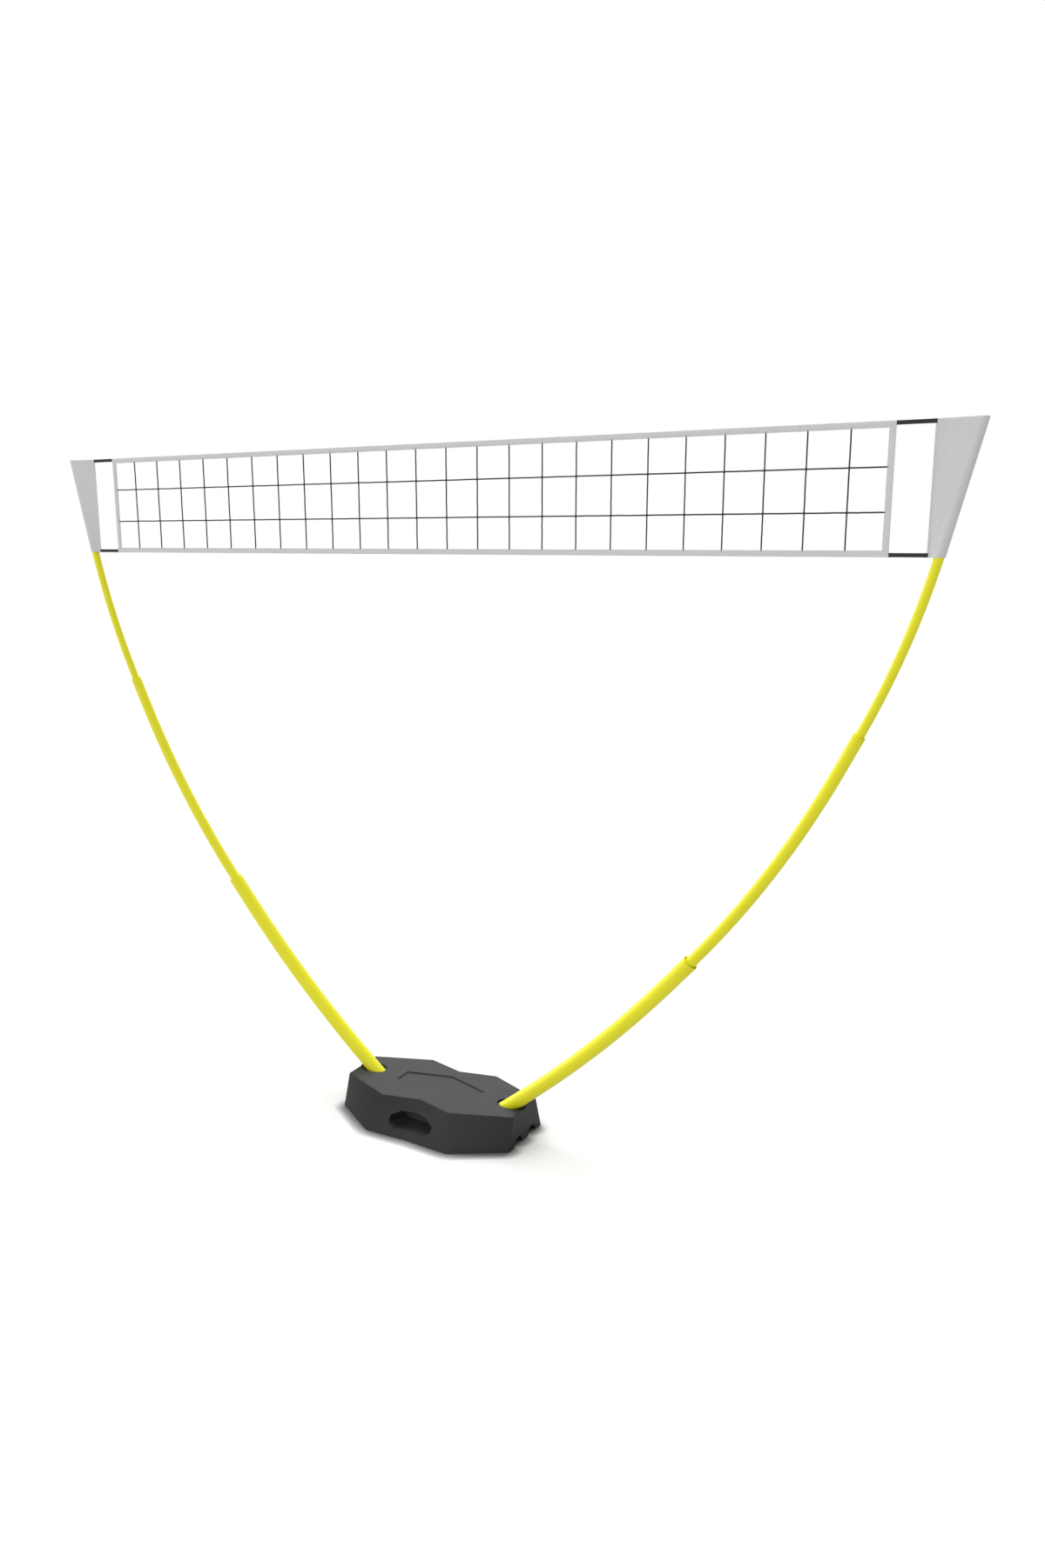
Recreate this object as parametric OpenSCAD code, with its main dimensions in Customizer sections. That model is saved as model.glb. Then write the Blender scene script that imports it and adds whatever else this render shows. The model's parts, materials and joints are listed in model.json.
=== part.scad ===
// Free-standing leisure volleyball net: one weighted base on the ground, two bowed poles of three
// nested tubes each, and a net held between two fabric sleeves that slip over the pole tips.
// Millimetres. X runs along the net, Z is up, the origin is on the ground under the middle of the base.

/* [Base moulding] */
// Height of the base
base_h = 98; // [92:1:110]
// Length of the base on the ground
base_w = 600; // [590:1:640]
// Length of the base at its top face
base_top_w = 598; // [588:1:636]
// Depth of the end faces on the ground
end_d = 194; // [180:1:210]
// Depth of the end faces at the top
end_top_d = 140; // [130:1:150]
// Depth of the base across its wide corners on the ground
base_d = 388; // [380:1:410]
// Depth of the base across its wide corners at the top
base_top_d = 280; // [270:1:300]
// Distance between the wide corners along the base, on the ground
corner_w = 286; // [280:1:300]
// Distance between the wide corners along the base, at the top
corner_top_w = 238; // [230:1:246]
// Depth across the waist on the ground
waist_d = 376; // [366:1:384]
// Depth across the waist at the top
waist_top_d = 222; // [214:1:240]
// Rounding of the moulded edges
edge_r = 5; // [3:0.5:7]
// Thickness of the top plate
plate_t = 4; // [3:0.5:5]
// Thickness of the side walls, measured level
side_t = 5; // [4:0.5:6]

/* [Base details] */
// Half length of the sunk hexagonal panel, tip to centre
panel_w = 144; // [130:1:150]
// Half depth of the panel at its flat corners
panel_d = 69; // [60:1:74]
// Half depth of the panel at its end edges
panel_end_d = 28; // [20:1:34]
// How far the panel is sunk into the top face
panel_sink = 4; // [2:0.5:5]
// Width of each handle recess
handle_w = 150; // [140:1:160]
// Height of the handle opening's lower edge above the ground
handle_z = 20; // [18:1:24]
// Height of the handle opening
handle_h = 46; // [40:1:50]
// Distance from the centre line to the back wall of each handle recess
handle_y = 95; // [88:1:100]
// Rounding of the handle recess's corners
handle_r = 8; // [5:0.5:10]
// Wall around each handle recess
handle_t = 3; // [2:0.5:3.5]
// Diameter of the two stow channels under the base
channel_d = 48; // [44:0.5:50]
// Distance between the two stow channels
channel_gap = 80; // [78:1:86]
// Wall of the raised channel in the bottom cover
channel_t = 2.5; // [2:0.5:3]
// Thickness of the bottom cover
cover_t = 4; // [3.5:0.5:5]

/* [Base screws] */
// Distance of the end screws from the end faces
end_screw_in = 62; // [58:1:66]
// Distance of the end screws from the long centre line
end_screw_y = 76; // [73:1:78]
// Distance of the corner screws from the wide corners, along the base
corner_screw_in = 18; // [14:1:22]
// Distance of the corner screws from the wide corners, across the base
corner_screw_side = 76; // [72:1:80]
// Diameter of the screw bosses
boss_d = 10; // [8:0.5:12]
// Diameter of the cover screws' shank
screw_d = 4; // [3:0.5:4.5]
// Length of the cover screws under the head
screw_l = 14; // [10:1:18]
// Diameter of the cover screws' head
head_d = 7.6; // [6.5:0.1:8.5]
// Height of the cover screws' head
head_h = 2; // [1.5:0.1:2.5]

/* [Ballast] */
// Distance from the middle of the base to the near end of each ballast block
ballast_in = 22; // [18:1:30]
// Distance from the pole's axis at the top face to the far end of each ballast block
ballast_out = 111; // [107:1:130]
// Depth of each ballast block
ballast_d = 124; // [100:1:130]
// Height of each ballast block
ballast_h = 28; // [16:1:34]
// How far the ballast's frame stays above its underside
ballast_skirt = 4; // [3:0.5:6]
// Thickness of the ribs that hold the ballast
rib_t = 2.5; // [2:0.5:3]

/* [Pole sockets] */
// Distance from the end of the top face to the pole's axis where they meet
pole_in = 46; // [43:1:50]
// Length of pole inside its socket, along the axis from the top face
socket_l = 100; // [90:1:106]
// Wall of the socket tube
socket_t = 5.4; // [4.5:0.1:6]
// Thickness of the socket's floor
socket_floor = 4; // [3:0.5:5]
// Wall of the moulded housing around the socket tube
housing_t = 2.5; // [2:0.5:3]
// Lip of the top plate over the socket tube
socket_lip = 1; // [0.6:0.1:1.5]
// How far the socket's lead-in reaches below its slanted mouth
lead_in = 6; // [4:0.5:8]

/* [Pole tubes] */
// Outer diameter of the lower tube
lower_d = 43; // [41:0.5:44]
// Outer diameter of the middle tube
middle_d = 31.5; // [30:0.5:33]
// Outer diameter of the top tube
top_d = 23; // [22:0.5:24]
// Wall of the lower tube
lower_t = 2; // [1.5:0.1:2.5]
// Wall of the middle tube
middle_t = 2; // [1.5:0.1:2.2]
// Wall of the top tube
top_t = 1.5; // [1.2:0.1:2]
// Slope of the pole where it leaves the base, in degrees
lean = 39.2; // [38.5:0.1:40.5]
// Turn of the lower tube's bow, in degrees
lower_turn = 10.4; // [9:0.1:12]
// Turn of the middle tube's bow, in degrees
middle_turn = 14.4; // [12:0.1:16]
// Turn of the top tube's bow, in degrees
top_turn = 12.6; // [11:0.1:14]
// Bow radius of the lower tube
lower_bow = 3600; // [3400:10:3800]
// Bow radius of the middle tube
middle_bow = 2650; // [2500:10:2800]
// Bow radius of the top tube
top_bow = 2120; // [2000:10:2300]
// Straight length of the lower tube above the base
foot_l = 30; // [20:1:60]
// Straight length of tube around each joint
joint_l = 95; // [90:1:110]
// Straight length of the top tube up to its tip
tip_l = 269; // [262:1:285]

/* [Pole fittings] */
// How far a joint insert sits below the mouth of its tube
insert_sink = 6; // [4:0.5:8]
// Thickness of the stop ring at the bottom of a joint insert
stop_t = 4; // [3:0.5:5]
// Width of the stop ring's shoulder
stop_w = 4; // [2.5:0.5:5]
// Thickness of the end plugs' flange
plug_t = 4; // [3:0.5:5]
// Length of the end plugs inside their tube
plug_l = 15; // [10:1:20]
// Height of the tip cap above the tube
cap_h = 5; // [4:0.5:6]
// Chamfer around the tip cap
cap_chamfer = 1.5; // [1:0.1:2]

/* [Net] */
// Size of one mesh cell
cell = 100; // [98:1:102]
// Number of cells along the net
columns = 25; // [23:1:25]
// Number of cells up the net
rows = 3; // [3:1:3]
// Diameter of the netting cord
cord_d = 3.6; // [2.8:0.1:4]
// Width of the tape around the net
band_w = 15; // [12:0.5:18]
// Thickness of the tape around the net
band_t = 4.4; // [4.1:0.1:5.2]
// Height of the elastic straps
strap_w = 10; // [7:0.5:12]
// Thickness of the elastic straps
strap_t = 2.4; // [2:0.1:3]

/* [Sleeves] */
// Width of a sleeve along its top edge
sleeve_w = 112; // [100:1:125]
// Thickness of one ply of sleeve fabric
ply_t = 1.2; // [0.8:0.1:1.6]
// Fabric above the end of the pole pocket
sleeve_top = 12; // [8:1:20]

/* [Clearances] */
// Radial gap between a tube and what guides it
run_gap = 0.05; // [0.02:0.01:0.1]
// Gap between a sliding piece and its stop
stop_gap = 0.2; // [0.1:0.05:0.3]
// Gap between fabric and the pieces of other bodies
soft_gap = 0.3; // [0.2:0.05:0.5]
// Gap around loose-fitted moulded pieces
fit_gap = 0.3; // [0.2:0.05:0.5]
// Gap around the screws where they pass through the cover
screw_gap = 0.25; // [0.15:0.05:0.4]
// Gap over the heads of the sunk screws
head_gap = 0.2; // [0.1:0.05:0.4]

/* [Hidden] */
$fn = 48;

// Cuts run this far past the faces they open
past = 1;
// Facets of a full turn in the long bows
bow_facets = 360;
// Facets of the spheres and discs that round the base
edge_facets = 24;
// Height of the upright land along the bottom edge of the base
land_h = 1;
// Hidden step where a straight stretch of tube runs into a bow, and how far it runs in
seam_step = 0.1;
seam_lap = 1;

// Outline of the base, anticlockwise from the front waist
function outline(waist, corner_x, corner_y, end_x, end_y) = [
    [0, -waist], [corner_x, -corner_y], [end_x, -end_y], [end_x, end_y], [corner_x, corner_y],
    [0, waist], [-corner_x, corner_y], [-end_x, end_y], [-end_x, -end_y], [-corner_x, -corner_y]
];
low_outline = outline(waist_d / 2, corner_w / 2, base_d / 2, base_w / 2, end_d / 2);
top_outline = outline(waist_top_d / 2, corner_top_w / 2, base_top_d / 2, base_top_w / 2, end_top_d / 2);
function outline_at(z) = low_outline + (top_outline - low_outline) * z / base_h;
function inward(a, b) = [a[1] - b[1], b[0] - a[0]] / norm(b - a);
function mitre(a, b, c) = (inward(a, b) + inward(b, c)) / (1 + inward(a, b) * inward(b, c));
function inset(points, d) = [
    for (i = [0 : len(points) - 1])
        points[i] + d * mitre(points[(i + len(points) - 1) % len(points)], points[i],
            points[(i + 1) % len(points)])
];
function right_half(points) = [for (i = [0 : 5]) points[i]];
function left_half(points) = [for (i = [5 : 10]) points[i % 10]];
plate_z = base_h - plate_t;
channel_r = channel_d / 2;
channel_y = channel_gap / 2;
screw_points = [
    [base_w / 2 - end_screw_in, end_screw_y],
    [corner_w / 2 - corner_screw_in, base_d / 2 - corner_screw_side]
];
boss_points = [for (x = [-1, 1], y = [-1, 1], p = screw_points) [x * p[0], y * p[1]]];
boss_bore_h = cover_t + screw_l + past;
head_seat = cover_t - head_h - head_gap;
ballast_z = channel_r + channel_t + fit_gap;
ballast_w = base_top_w / 2 - pole_in - ballast_out - ballast_in;
ballast_x = ballast_in + ballast_w / 2;
screw_r = screw_d / 2;

// The pole's axis in the XZ plane: a point and a slope at each change
function heading(a) = [cos(a), sin(a)];
function straight_on(p, a, s) = p + s * heading(a);
function bow_on(p, a, r, turn) = p + r * [sin(a + turn) - sin(a), cos(a) - cos(a + turn)];
lower_lean = lean + lower_turn;
middle_lean = lower_lean + middle_turn;
tip_lean = middle_lean + top_turn;
pole_x = base_top_w / 2 - pole_in;
face_point = [pole_x, base_h];
floor_point = straight_on(face_point, lean, -socket_l);
lower_bow_point = straight_on(face_point, lean, foot_l);
lower_fit_point = bow_on(lower_bow_point, lean, lower_bow, lower_turn);
lower_mouth = straight_on(lower_fit_point, lower_lean, joint_l);
middle_fit_point = bow_on(lower_mouth, lower_lean, middle_bow, middle_turn);
middle_mouth = straight_on(middle_fit_point, middle_lean, joint_l);
tip_start = bow_on(middle_mouth, middle_lean, top_bow, top_turn);
tip_point = straight_on(tip_start, tip_lean, tip_l);
pocket_end = straight_on(tip_point, tip_lean, cap_h + soft_gap);
lower_r = lower_d / 2;
middle_r = middle_d / 2;
top_r = top_d / 2;
insert_l = joint_l - insert_sink - past;
spigot_l = insert_sink + insert_l - stop_t - stop_gap - plug_t;
socket_r = lower_r + run_gap + socket_t;
plate_hole_r = socket_r - socket_lip;
// The socket's lead-in ends this far down its axis, below the lowest point of its slanted mouth
lead_l = (plate_t + socket_r * cos(lean)) / sin(lean) + lead_in;

// The net hangs level with the sleeves' tops, and the straps span what is left between them
net_top = pocket_end[1] + sleeve_top;
net_bottom = net_top - rows * cell;
net_x = columns * cell / 2;
pocket_r = top_r + seam_step + soft_gap;
sheath_r = pocket_r + ply_t;
function axis_x(z) = tip_point[0] + (z - tip_point[1]) / tan(tip_lean);
sleeve_x = axis_x(net_top) + sheath_r / sin(tip_lean) - sleeve_w;
sleeve_reach = 60;

base_colour = "#3f3f41";
dark_colour = "#262628";
iron_colour = "#5a5550";
steel_colour = "#a8aaad";
pole_colour = "#e6e12c";
fabric_colour = "#c6c6c6";
cord_colour = "#5c5e60";
strap_colour = "#29292a";

// Children built for the right-hand side, or mirrored to the left
module on_side(side) {
    mirror([side < 0 ? 1 : 0, 0, 0])
        children();
}

// Children built along +Z, laid on the pole's axis at a point with a slope
module on_axis(p, a) {
    translate([p[0], 0, p[1]])
        rotate([0, 90 - a, 0])
            children();
}

module bow(bow_r, turn, r) {
    translate([-bow_r, 0, 0])
        rotate([90, 0, 0])
            rotate_extrude(angle = turn, $fn = bow_facets)
                translate([bow_r, 0])
                    circle(r = r, $fn = 48);
}

// A solid rod along one tube: straight, bowed, straight, lengthened by more at both ends
module rod(start, a, first_l, bow_r, turn, last_l, r, more = 0) {
    bow_start = straight_on(start, a, first_l);
    bow_end = bow_on(bow_start, a, bow_r, turn);
    on_axis(straight_on(start, a, -more), a)
        cylinder(h = first_l + seam_lap + more, r = r);
    on_axis(bow_start, a)
        bow(bow_r, turn, r + seam_step);
    on_axis(straight_on(bow_end, a + turn, -seam_lap), a + turn)
        cylinder(h = last_l + seam_lap + more, r = r);
}

module tube(start, a, first_l, bow_r, turn, last_l, r, wall) {
    difference() {
        rod(start, a, first_l, bow_r, turn, last_l, r);
        rod(start, a, first_l, bow_r, turn, last_l, r - wall, past);
    }
}

// Base moulding

module rounded_half(low, top) {
    hull() {
        for (p = low)
            translate([p[0], p[1], 0])
                cylinder(h = land_h, r = edge_r, $fn = edge_facets);
        for (p = top)
            translate([p[0], p[1], base_h - edge_r])
                sphere(r = edge_r, $fn = edge_facets);
    }
}

module base_body() {
    low = inset(low_outline, edge_r);
    top = inset(top_outline, edge_r);
    rounded_half(right_half(low), right_half(top));
    rounded_half(left_half(low), left_half(top));
}

module hollow_half(low, top) {
    sliver = 0.01;
    hull() {
        translate([0, 0, -past])
            linear_extrude(height = sliver)
                polygon(low);
        translate([0, 0, plate_z - sliver])
            linear_extrude(height = sliver)
                polygon(top);
    }
}

module base_hollow() {
    low = inset(outline_at(-past), side_t);
    top = inset(outline_at(plate_z), side_t);
    hollow_half(right_half(low), right_half(top));
    hollow_half(left_half(low), left_half(top));
}

module panel(grow, z, h) {
    points = [[panel_w, -panel_end_d], [panel_w, panel_end_d], [0, panel_d],
        [-panel_w, panel_end_d], [-panel_w, -panel_end_d], [0, -panel_d]];
    translate([0, 0, z])
        linear_extrude(height = h)
            polygon(inset(points, -grow));
}

// Eight-sided opening with rounded corners, cut level into the sloping waist
module handle_recess(side, grow) {
    half_w = handle_w / 2;
    end_h = handle_h / 5;
    mid_z = handle_z + handle_h / 2;
    top_z = handle_z + handle_h;
    points = [[-half_w, mid_z - end_h], [-half_w * 2 / 3, handle_z], [half_w * 2 / 3, handle_z],
        [half_w, mid_z - end_h], [half_w, mid_z + end_h], [half_w * 3 / 5, top_z],
        [-half_w * 3 / 5, top_z], [-half_w, mid_z + end_h]];
    mirror([0, side > 0 ? 1 : 0, 0])
        translate([0, grow - handle_y, 0])
            rotate([90, 0, 0])
                linear_extrude(height = base_d / 2 - handle_y + 2 * past)
                    offset(r = handle_r + grow, $fn = 24)
                        polygon(inset(points, handle_r));
}

module channel(y, r, half_l) {
    translate([-half_l, y, 0])
        rotate([0, 90, 0])
            cylinder(h = 2 * half_l, r = r);
}

module socket_housing() {
    on_axis(straight_on(face_point, lean, -socket_l * 0.7), lean)
        cylinder(h = socket_l, r = socket_r + run_gap + housing_t);
}

module pole_hole() {
    on_axis(straight_on(floor_point, lean, -2 * socket_floor), lean)
        intersection() {
            cylinder(h = 2 * socket_l, r = socket_r + run_gap);
            below_plate(2 * socket_floor + socket_l);
        }
    intersection() {
        on_axis(floor_point, lean)
            cylinder(h = 2 * socket_l, r = plate_hole_r);
        translate([pole_x - base_h, -base_h, plate_z - past])
            cube([2 * base_h, 2 * base_h, plate_t + 2 * past]);
    }
}

// Everything under the top plate, in the frame of a piece on the pole's axis that starts
// this far below the top face
module below_plate(depth) {
    size = 3 * base_h;
    translate([0, 0, depth])
        rotate([0, lean - 90, 0])
            translate([-size, -size, -plate_t - 2 * size])
                cube([2 * size, 2 * size, 2 * size]);
}

module ballast_frame() {
    frame_w = ballast_w + 2 * (fit_gap + rib_t);
    frame_d = ballast_d + 2 * (fit_gap + rib_t);
    difference() {
        translate([ballast_x - frame_w / 2, -frame_d / 2, ballast_z + ballast_skirt])
            cube([frame_w, frame_d, base_h]);
        translate([ballast_x - ballast_w / 2 - fit_gap, -ballast_d / 2 - fit_gap, 0])
            cube([ballast_w + 2 * fit_gap, ballast_d + 2 * fit_gap, 2 * base_h]);
    }
    translate([ballast_x - rib_t / 2, -ballast_d / 2 - past, ballast_z + ballast_h + fit_gap])
        cube([rib_t, ballast_d + 2 * past, base_h]);
}

module base_ribs() {
    for (side = [-1, 1])
        on_side(side) {
            socket_housing();
            ballast_frame();
        }
    for (side = [-1, 1])
        handle_recess(side, handle_t);
    for (p = boss_points)
        translate([p[0], p[1], cover_t])
            cylinder(h = base_h, r = boss_d / 2);
    panel(plate_t, plate_z - panel_sink, base_h);
}

module base_shell() {
    color(base_colour)
        difference() {
            base_body();
            difference() {
                base_hollow();
                base_ribs();
            }
            panel(0, base_h - panel_sink, base_h);
            for (side = [-1, 1])
                handle_recess(side, 0);
            for (side = [-1, 1])
                on_side(side)
                    pole_hole();
            for (p = boss_points)
                translate([p[0], p[1], 0])
                    cylinder(h = boss_bore_h, r = screw_r + run_gap);
            for (y = [-channel_y, channel_y], x = [-base_w / 2, base_w / 2])
                translate([x, 0, 0])
                    channel(y, channel_r, 4 * side_t);
        }
}

module base_cover() {
    half_l = base_top_w / 2 - side_t - fit_gap;
    color(base_colour)
        difference() {
            union() {
                linear_extrude(height = cover_t)
                    polygon(inset(outline_at(cover_t), side_t + fit_gap));
                for (y = [-channel_y, channel_y])
                    channel(y, channel_r + channel_t, half_l);
            }
            translate([-base_w, -base_d, -base_h])
                cube([2 * base_w, 2 * base_d, base_h]);
            for (y = [-channel_y, channel_y])
                channel(y, channel_r, base_w);
            for (p = boss_points)
                translate([p[0], p[1], -past]) {
                    cylinder(h = cover_t + 2 * past, r = screw_r + screw_gap);
                    cylinder(h = past + cover_t - head_seat, r = head_d / 2 + fit_gap);
                }
        }
}

module cover_screws() {
    color(steel_colour)
        for (p = boss_points)
            translate([p[0], p[1], cover_t - head_seat - head_h]) {
                cylinder(h = head_h, r = head_d / 2);
                cylinder(h = head_h + screw_l, r = screw_r);
            }
}

module ballast() {
    color(iron_colour)
        translate([ballast_x - ballast_w / 2, -ballast_d / 2, ballast_z])
            cube([ballast_w, ballast_d, ballast_h]);
}

module socket() {
    foot = straight_on(floor_point, lean, -socket_floor);
    color(dark_colour)
        on_axis(foot, lean)
            difference() {
                intersection() {
                    cylinder(h = 2 * socket_l, r = socket_r);
                    below_plate(socket_floor + socket_l);
                }
                translate([0, 0, socket_floor])
                    cylinder(h = 2 * socket_l, r = lower_r + run_gap);
                translate([0, 0, socket_floor + socket_l - lead_l])
                    cylinder(h = 2 * lead_l, r1 = lower_r + run_gap, r2 = 2 * plate_hole_r - lower_r);
            }
}

// Poles

module lower_tube() {
    start = straight_on(floor_point, lean, stop_gap + plug_t);
    color(pole_colour)
        tube(start, lean, socket_l + foot_l - stop_gap - plug_t, lower_bow, lower_turn, joint_l,
            lower_r, lower_t);
}

module middle_tube() {
    start = straight_on(lower_mouth, lower_lean, -spigot_l);
    color(pole_colour)
        tube(start, lower_lean, spigot_l, middle_bow, middle_turn, joint_l, middle_r, middle_t);
}

module top_tube() {
    start = straight_on(middle_mouth, middle_lean, -spigot_l);
    color(pole_colour)
        tube(start, middle_lean, spigot_l, top_bow, top_turn, tip_l, top_r, top_t);
}

// A plug that closes the end of a tube: a flange below the tube and a shank inside it
module end_plug(p, a, r, wall) {
    color(dark_colour)
        on_axis(p, a) {
            translate([0, 0, -plug_t])
                cylinder(h = plug_t, r = r);
            translate([0, 0, -seam_lap])
                cylinder(h = plug_l + seam_lap, r = r - wall - run_gap);
        }
}

module lower_plug() {
    end_plug(straight_on(floor_point, lean, stop_gap + plug_t), lean, lower_r, lower_t);
}

module middle_plug() {
    end_plug(straight_on(lower_mouth, lower_lean, -spigot_l), lower_lean, middle_r, middle_t);
}

module top_plug() {
    end_plug(straight_on(middle_mouth, middle_lean, -spigot_l), middle_lean, top_r, top_t);
}

// A liner in the mouth of the larger tube that guides the smaller one down to a stop ring
module joint_insert(mouth, a, outer_r, inner_r) {
    color(dark_colour)
        on_axis(straight_on(mouth, a, -insert_sink - insert_l), a)
            difference() {
                cylinder(h = insert_l, r = outer_r - run_gap);
                translate([0, 0, stop_t])
                    cylinder(h = insert_l, r = inner_r + run_gap);
                translate([0, 0, -past])
                    cylinder(h = insert_l, r = inner_r - stop_w);
            }
}

module lower_insert() {
    joint_insert(lower_mouth, lower_lean, lower_r - lower_t, middle_r);
}

module middle_insert() {
    joint_insert(middle_mouth, middle_lean, middle_r - middle_t, top_r);
}

module tip_cap() {
    color(dark_colour)
        on_axis(tip_point, tip_lean) {
            cylinder(h = cap_h - cap_chamfer, r = top_r);
            translate([0, 0, cap_h - cap_chamfer])
                cylinder(h = cap_chamfer, r1 = top_r, r2 = top_r - cap_chamfer);
            translate([0, 0, -plug_l])
                cylinder(h = plug_l + seam_lap, r = top_r - top_t - run_gap);
        }
}

// Net

// A flat wedge of fabric, sewn shut at its inner edge and open at the bottom for the pole
module sleeve() {
    color(fabric_colour)
        difference() {
            intersection() {
                hull() {
                    on_axis(straight_on(tip_start, tip_lean, -sleeve_reach), tip_lean)
                        cylinder(h = tip_l + 2 * sleeve_reach, r = sheath_r, $fn = 32);
                    translate([sleeve_x, -ply_t, net_bottom - sleeve_reach])
                        cube([ply_t, 2 * ply_t, rows * cell + 2 * sleeve_reach]);
                }
                translate([sleeve_x - past, -cell, net_bottom])
                    cube([2 * sleeve_w, 2 * cell, rows * cell]);
            }
            on_axis(straight_on(tip_start, tip_lean, -sleeve_reach), tip_lean)
                cylinder(h = sleeve_reach + tip_l + cap_h + soft_gap, r = pocket_r);
        }
}

module net_cords() {
    inner_x = net_x - band_w;
    inner_h = rows * cell - 2 * band_w;
    color(cord_colour) {
        for (i = [1 : columns - 1])
            translate([i * cell - net_x, 0, net_bottom + band_w])
                cylinder(h = inner_h, r = cord_d / 2, $fn = 8);
        for (j = [1 : rows - 1])
            translate([-inner_x, 0, net_bottom + j * cell])
                rotate([0, 90, 0])
                    cylinder(h = 2 * inner_x, r = cord_d / 2, $fn = 8);
    }
}

module long_band(z) {
    color(fabric_colour)
        translate([-net_x, -band_t / 2, z])
            cube([2 * net_x, band_t, band_w]);
}

module band_top() {
    long_band(net_top - band_w);
}

module band_bottom() {
    long_band(net_bottom);
}

module side_band() {
    color(fabric_colour)
        translate([net_x - band_w, -band_t / 2, net_bottom + band_w])
            cube([band_w, band_t, rows * cell - 2 * band_w]);
}

// gap is left open between the strap's end and the sleeve
module strap(z, gap) {
    color(strap_colour)
        translate([net_x, -strap_t / 2, z])
            cube([sleeve_x - net_x - gap, strap_t, strap_w]);
}

module strap_top(gap) {
    strap(net_top - strap_w, gap);
}

module strap_bottom(gap) {
    strap(net_bottom, gap);
}

base_shell();
base_cover();
cover_screws();
on_side(-1) ballast();  // ballast_left
on_side(1) ballast();  // ballast_right
on_side(-1) socket();  // socket_left
on_side(1) socket();  // socket_right
on_side(-1) lower_tube();  // lower_tube_left
on_side(-1) lower_plug();  // lower_plug_left
on_side(-1) lower_insert();  // lower_insert_left
on_side(-1) middle_tube();  // middle_tube_left
on_side(-1) middle_plug();  // middle_plug_left
on_side(-1) middle_insert();  // middle_insert_left
on_side(-1) top_tube();  // top_tube_left
on_side(-1) top_plug();  // top_plug_left
on_side(-1) tip_cap();  // tip_cap_left
on_side(-1) sleeve();  // sleeve_left
on_side(1) lower_tube();  // lower_tube_right
on_side(1) lower_plug();  // lower_plug_right
on_side(1) lower_insert();  // lower_insert_right
on_side(1) middle_tube();  // middle_tube_right
on_side(1) middle_plug();  // middle_plug_right
on_side(1) middle_insert();  // middle_insert_right
on_side(1) top_tube();  // top_tube_right
on_side(1) top_plug();  // top_plug_right
on_side(1) tip_cap();  // tip_cap_right
on_side(1) sleeve();  // sleeve_right
net_cords();
band_top();
band_bottom();
on_side(-1) side_band();  // band_left
on_side(1) side_band();  // band_right
on_side(-1) strap_top(soft_gap);  // strap_top_left
on_side(-1) strap_bottom(soft_gap);  // strap_bottom_left
on_side(1) strap_top(0);  // strap_top_right
on_side(1) strap_bottom(0);  // strap_bottom_right
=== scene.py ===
# %% [markdown]
# # A volleyball net on two bowed poles
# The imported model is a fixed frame: every solid already stands in its place, in metres, and belongs
# to a body that may move. This lesson dresses that frame. A solid either gets a finish, or a finer
# piece is built over its place and stands for it.

# %% Load the frame
import json
import math
import random

import bmesh
import bpy
from mathutils import Matrix, Vector, noise

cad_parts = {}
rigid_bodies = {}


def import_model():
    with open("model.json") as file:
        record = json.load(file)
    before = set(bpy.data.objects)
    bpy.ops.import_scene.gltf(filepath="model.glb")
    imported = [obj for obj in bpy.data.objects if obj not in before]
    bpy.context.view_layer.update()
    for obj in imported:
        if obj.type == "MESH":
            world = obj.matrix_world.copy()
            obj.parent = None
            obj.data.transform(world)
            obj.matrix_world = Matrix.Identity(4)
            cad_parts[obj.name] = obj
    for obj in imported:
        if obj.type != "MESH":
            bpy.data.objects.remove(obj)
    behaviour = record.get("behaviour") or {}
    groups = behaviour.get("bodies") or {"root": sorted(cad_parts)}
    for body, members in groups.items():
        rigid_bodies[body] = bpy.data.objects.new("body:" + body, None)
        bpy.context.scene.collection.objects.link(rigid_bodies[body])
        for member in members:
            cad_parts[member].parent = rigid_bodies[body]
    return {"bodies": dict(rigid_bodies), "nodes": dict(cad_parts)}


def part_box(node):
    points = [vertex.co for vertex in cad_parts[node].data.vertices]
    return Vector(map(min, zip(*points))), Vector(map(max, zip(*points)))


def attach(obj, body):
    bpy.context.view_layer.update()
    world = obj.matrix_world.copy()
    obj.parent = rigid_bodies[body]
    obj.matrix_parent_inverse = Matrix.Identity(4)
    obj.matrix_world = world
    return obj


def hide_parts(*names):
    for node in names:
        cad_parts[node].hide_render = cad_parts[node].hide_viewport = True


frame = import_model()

MM = 0.001
kept = [*frame["nodes"].values(), *frame["bodies"].values()]
for spare in [o for o in bpy.context.scene.objects if o not in kept]:
    bpy.data.objects.remove(spare)
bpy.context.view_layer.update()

# %% [markdown]
# The camera stands a little above the net's bottom edge, to the right of the middle, and looks down
# at the base. The long side of the picture is upright, so the sensor's 36 mm lie along the height.

# %% Camera
camera_data = bpy.data.cameras.new("camera")
camera_data.sensor_width = 36
camera_data.lens = 26.61
camera = bpy.data.objects.new("camera", camera_data)
camera.location = (1.850, -2.756, 1.740)
camera.rotation_euler = (math.radians(78.17), 0, math.radians(29.50))
bpy.context.scene.collection.objects.link(camera)
bpy.context.scene.camera = camera
print("camera at", tuple(round(x, 3) for x in camera.location))

# %% [markdown]
# ## Finishes
# A finish is a node tree. Long trees are hard to read as lists of nodes, so two small tools keep
# them short. A Value wraps a socket: sums on it add the Math nodes. Every other node comes from
# Finish.node, which takes the node's type, its settings and what its sockets get.

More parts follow.
